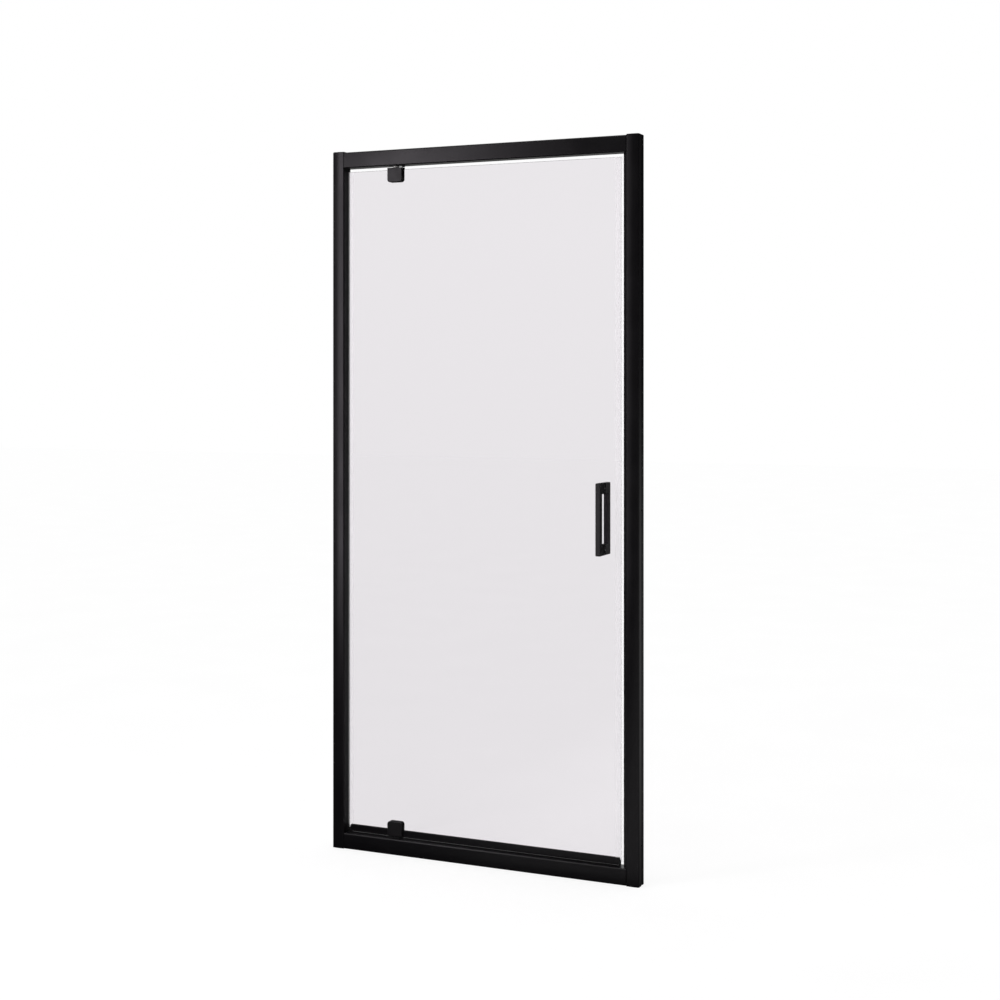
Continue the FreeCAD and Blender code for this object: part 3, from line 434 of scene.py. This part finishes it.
def whiteRays(tree, mirrored):
    # 1 for what sees the white backdrop: the camera and what is seen through glass; the given share
    # for a gloss. Light that lands on the object itself isn't changed.
    path = addNode(tree, "ShaderNodeLightPath")
    through = addNode(
        tree, "ShaderNodeMath", {"operation": "SUBTRACT", "use_clamp": True},
        {0: path.outputs["Is Transmission Ray"], 1: glossPath(tree)},
    )
    seen = addNode(
        tree, "ShaderNodeMath", {"operation": "MAXIMUM"},
        {0: path.outputs["Is Camera Ray"], 1: through.outputs["Value"]},
    )
    direct = addNode(
        tree, "ShaderNodeMath", {"operation": "SUBTRACT", "use_clamp": True},
        {0: path.outputs["Is Glossy Ray"], 1: path.outputs["Is Transmission Ray"]},
    )
    share = addNode(
        tree, "ShaderNodeMath", {"operation": "MULTIPLY"}, {0: direct.outputs["Value"], 1: mirrored},
    )
    both = addNode(
        tree, "ShaderNodeMath", {"operation": "MAXIMUM"},
        {0: seen.outputs["Value"], 1: share.outputs["Value"]},
    )
    return both.outputs["Value"]


paleFloor = {
    "size": 40.0,
    "colours": [(0.3, "#888888"), (0.7, "#8c8c8c")],
    "cloud": 333 * mm,
    "glow": 0.815,                  # lifts the floor to the photo's white where no shadow falls
    "mirrored": 0.3,                # how much of that white a gloss shows
    "mirroredBehind": (-0.5, 1.5),  # Y from which it does
    "sides": (-0.4, 0.05),          # X between which the floor's painted shade in a gloss gives way to painted light
    "sideShares": (0.15, 1.6),
    "front": (-0.02, -0.2),         # and Y, from a painted shadow at the door's foot to painted light further in front
    "frontShares": (0.2, 2.0),
}


def makeFloor():
    material, tree, output, position = newMaterial("paleFloor")
    place = addNode(tree, "ShaderNodeSeparateXYZ", None, {0: position})
    cloud = addNode(
        tree, "ShaderNodeTexNoise", {"Scale": 1 / paleFloor["cloud"], "Detail": 3.0},
        {"Vector": position},
    )
    colour = addNode(
        tree, "ShaderNodeValToRGB", {"stops": paleFloor["colours"]}, {"Fac": cloud.outputs["Fac"]},
    )
    # painted shade and light in the frame's gloss: the floor's colour is darkened at the left and close in
    # front of the door, and lightened at the right and further in front
    shares = []
    for axis, (near, far), (least, most) in (
        ("X", paleFloor["sides"], paleFloor["sideShares"]),
        ("Y", paleFloor["front"], paleFloor["frontShares"]),
    ):
        ramp = addNode(
            tree, "ShaderNodeMapRange",
            {"From Min": near, "From Max": far, "To Min": least, "To Max": most},
            {"Value": place.outputs[axis]},
        )
        shares.append(ramp.outputs["Result"])
    shading = addNode(tree, "ShaderNodeMath", {"operation": "MULTIPLY"}, {0: shares[0], 1: shares[1]})
    share = addNode(
        tree, "ShaderNodeMapRange", {"To Min": 1.0},
        {"Value": glossPath(tree), "To Max": shading.outputs["Value"]},
    )
    shaded = addNode(
        tree, "ShaderNodeVectorMath", {"operation": "SCALE"},
        {0: colour.outputs["Color"], "Scale": share.outputs["Result"]},
    )
    diffuse = addNode(tree, "ShaderNodeBsdfDiffuse", None, {"Color": shaded.outputs["Vector"]})
    near, far = paleFloor["mirroredBehind"]
    behind = addNode(
        tree, "ShaderNodeMapRange",
        {
            "interpolation_type": "SMOOTHSTEP", "From Min": near, "From Max": far,
            "To Max": paleFloor["mirrored"],
        },
        {"Value": place.outputs["Y"]},
    )
    strength = addNode(
        tree, "ShaderNodeMath", {"operation": "MULTIPLY", 1: paleFloor["glow"]},
        {0: whiteRays(tree, behind.outputs["Result"])},
    )
    glow = addNode(tree, "ShaderNodeEmission", {"Color": white}, {"Strength": strength.outputs["Value"]})
    both = addNode(
        tree, "ShaderNodeAddShader", None,
        {0: diffuse.outputs["BSDF"], 1: glow.outputs["Emission"]},
    )
    tree.links.new(both.outputs["Shader"], output.inputs["Surface"])
    bpy.ops.mesh.primitive_plane_add(size=paleFloor["size"])
    floor = bpy.context.object
    floor.name = "floor"
    floor.data.materials.append(material)


# what surrounds the door: plain light on it, a white backdrop for the camera, and a dark room with a
# bright ceiling in its gloss
room = {
    "light": 0.7,
    "side": 0.03,
    "overhead": 0.9,
    "ceiling": (0.3, 0.8),
    "backdropBehind": (-0.1, 0.3),  # directions between which a gloss comes to show the backdrop
    "backdropLeft": (0.15, -0.2),
    "backdropRise": (0.0, 0.2),
}


def makeWorld():
    world = bpy.data.worlds.new("studio")
    world.use_nodes = True
    tree = world.node_tree
    tree.nodes.clear()
    output = addNode(tree, "ShaderNodeOutputWorld")
    direction = addNode(tree, "ShaderNodeTexCoord").outputs["Generated"]
    split = addNode(tree, "ShaderNodeSeparateXYZ", None, {0: direction})
    # in a gloss the backdrop stands behind the door and to the left, and fades to the floor's share
    shares = []
    for axis, (near, far), least in (
        ("Y", room["backdropBehind"], 0.0),
        ("X", room["backdropLeft"], 0.0),
        ("Z", room["backdropRise"], paleFloor["mirrored"]),
    ):
        share = addNode(
            tree, "ShaderNodeMapRange",
            {"interpolation_type": "SMOOTHSTEP", "From Min": near, "From Max": far, "To Min": least},
            {"Value": split.outputs[axis]},
        )
        shares.append(share.outputs["Result"])
    corner = addNode(tree, "ShaderNodeMath", {"operation": "MULTIPLY"}, {0: shares[0], 1: shares[1]})
    backdrop = addNode(
        tree, "ShaderNodeMath", {"operation": "MULTIPLY"},
        {0: corner.outputs["Value"], 1: shares[2]},
    )
    low, high = room["ceiling"]
    mirrored = addNode(
        tree, "ShaderNodeMapRange",
        {
            "interpolation_type": "SMOOTHSTEP", "From Min": low, "From Max": high,
            "To Min": room["side"], "To Max": room["overhead"],
        },
        {"Value": split.outputs["Z"]},
    )
    plain = addNode(
        tree, "ShaderNodeMapRange", {"To Min": room["light"]},
        {"Value": glossPath(tree), "To Max": mirrored.outputs["Result"]},
    )
    strength = addNode(
        tree, "ShaderNodeMapRange", {"To Max": 1.0},
        {"Value": whiteRays(tree, backdrop.outputs["Value"]), "To Min": plain.outputs["Result"]},
    )
    backdropLight = addNode(
        tree, "ShaderNodeBackground", {"Color": white}, {"Strength": strength.outputs["Result"]},
    )
    tree.links.new(backdropLight.outputs["Background"], output.inputs["Surface"])
    bpy.context.scene.world = world


# the key stands close at the left, so that the frame is brighter there. Its mirror image would stand
# in the pane, so it doesn't light that. A small lamp lights the handles alone.
lamps = {
    "keyLamp": {
        "power": 13.0, "size": (0.4, 2.2), "place": (-1.03, -1.6, 1.55), "aim": (-0.2, 0, 1.5),
        "pieces": ["glass_panel"], "linking": "EXCLUDE",
    },
    "handleLamp": {
        "power": 1.9, "size": (0.25, 0.7), "place": (-0.374, -1.91, 0.75), "aim": (0.336, 0, 0.92),
        "pieces": ["handle_front", "handle_back"], "linking": "INCLUDE",
    },
}
lampColour = (1.0, 0.93, 1.0)


def makeLamp(name, lamp):
    data = bpy.data.lights.new(name, "AREA")
    data.energy = lamp["power"]
    data.color = lampColour
    data.shape = "RECTANGLE"
    data.size, data.size_y = lamp["size"]
    light = bpy.data.objects.new(name, data)
    light.location = lamp["place"]
    light.rotation_euler = (Vector(lamp["aim"]) - light.location).to_track_quat("-Z", "Y").to_euler()
    bpy.context.scene.collection.objects.link(light)
    linked = bpy.data.collections.new(name + "Pieces")
    for piece in lamp["pieces"]:
        linked.objects.link(nodes[piece])
    for entry in linked.collection_objects:
        entry.light_linking.link_state = lamp["linking"]
    light.light_linking.receiver_collection = linked


print("setting floor and lights")
makeFloor()
makeWorld()
for name, lamp in lamps.items():
    makeLamp(name, lamp)
bpy.context.scene.view_settings.view_transform = "Standard"
